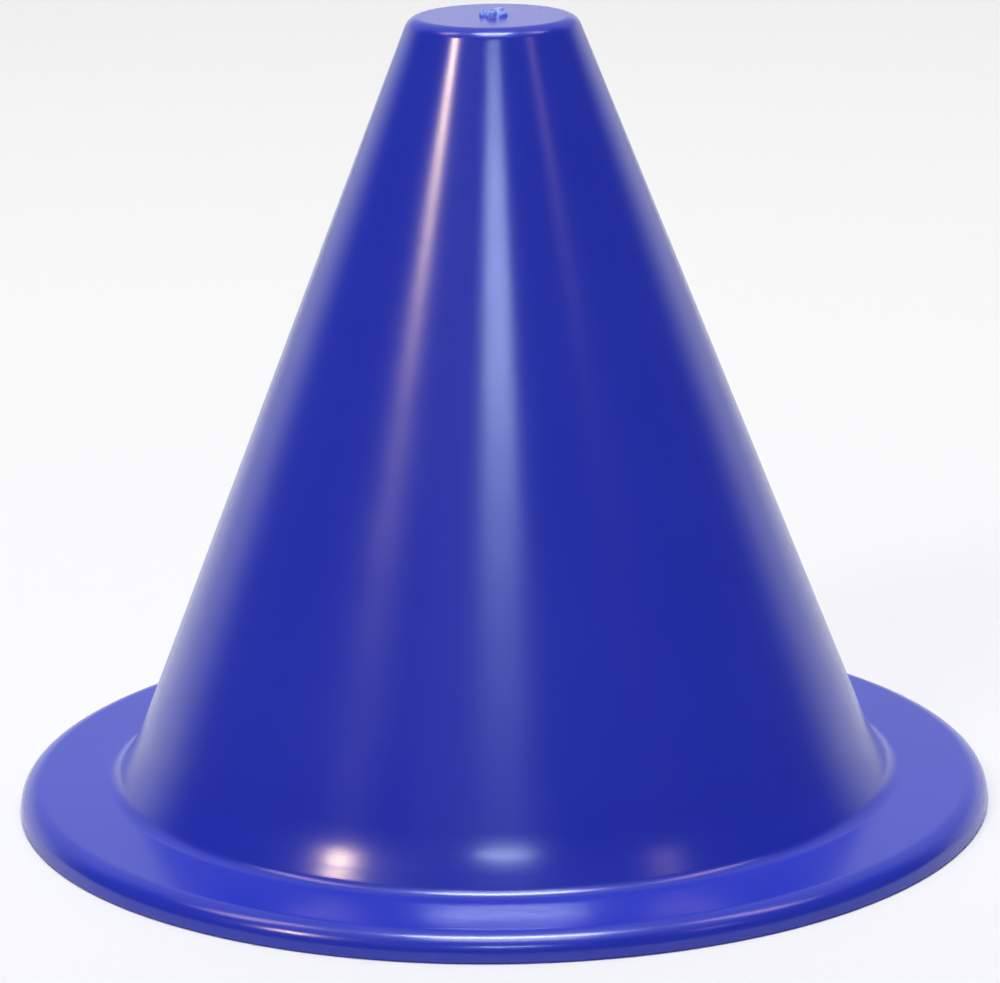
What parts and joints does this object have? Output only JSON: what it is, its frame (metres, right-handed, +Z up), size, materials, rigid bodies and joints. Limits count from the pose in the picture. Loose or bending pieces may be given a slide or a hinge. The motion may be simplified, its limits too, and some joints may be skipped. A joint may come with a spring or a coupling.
{
  "type": "sports marker cone",
  "caption": "One-piece moulded marker cone with a closed flat top, tapered thin wall, rounded shoulder and a round flange with a turned-down rim.",
  "frame": {"origin": "centre of the rim's lower edge, on the floor that the cone stands on", "axes": "+Z up along the cone's axis, from the open base towards the closed top; -Y is the side that faces the picture's camera"},
  "size_m": [0.1848, 0.1848, 0.1512],
  "materials": {
    "blue_polyethylene": "satin"
  },
  "bodies": {
    "root": {"cone_shell": "blue_polyethylene"}
  },
  "joints": []
}
